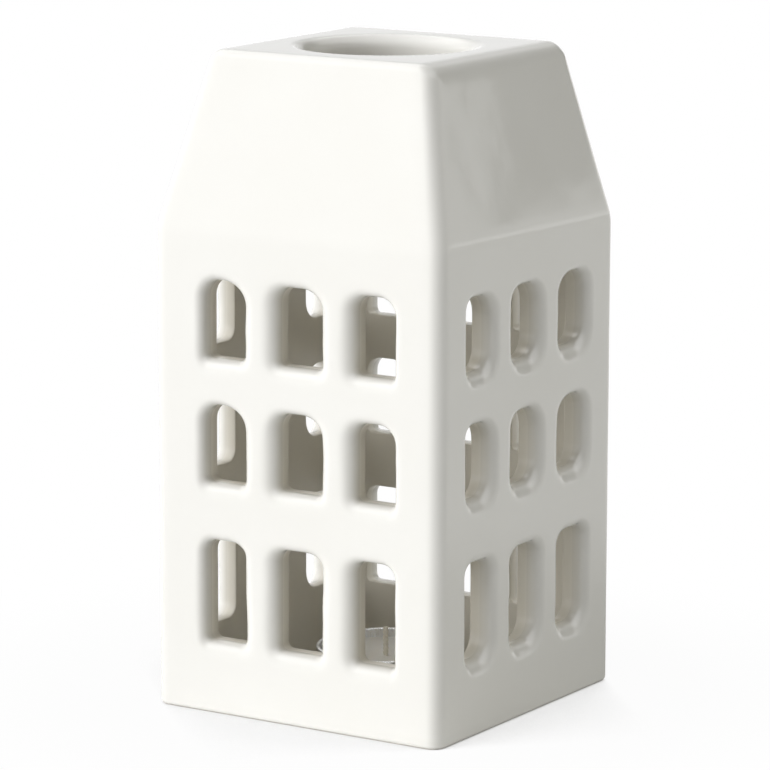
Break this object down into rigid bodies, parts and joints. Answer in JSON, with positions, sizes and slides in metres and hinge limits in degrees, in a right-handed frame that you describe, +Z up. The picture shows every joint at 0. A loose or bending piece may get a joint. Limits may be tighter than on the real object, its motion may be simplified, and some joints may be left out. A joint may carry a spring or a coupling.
{
  "type": "tealight house",
  "caption": "Hollow ceramic house with arched windows, a leaning roof and a round top vent, set down over a tealight in an aluminium cup.",
  "frame": {"origin": "on the table, at the middle of the square footprint", "axes": "+Z up through the vent; -Y towards the brighter wall of the picture and +X towards its shaded wall, all four walls being alike"},
  "size_m": [0.09, 0.09, 0.177],
  "materials": {
    "glazed_shell": "glossy white glaze with a slight orange peel, pooled thin on edges",
    "cup_aluminium": "thin pressed sheet, satin",
    "wax": "white paraffin wax, waxy satin",
    "wick_cotton": "waxed braided cotton",
    "tab_steel": "thin tinned steel"
  },
  "bodies": {
    "tealight": {"tealight_cup": "cup_aluminium", "tealight_wax": "wax", "tealight_wick": "wick_cotton", "wick_tab": "tab_steel"},
    "house": {"house_shell": "glazed_shell"}
  },
  "joints": [
    {"name": "house_lift", "type": "slide", "parent": "tealight", "child": "house", "axis": [0, 0, 1], "range_m": [0, 0.06]}
  ]
}
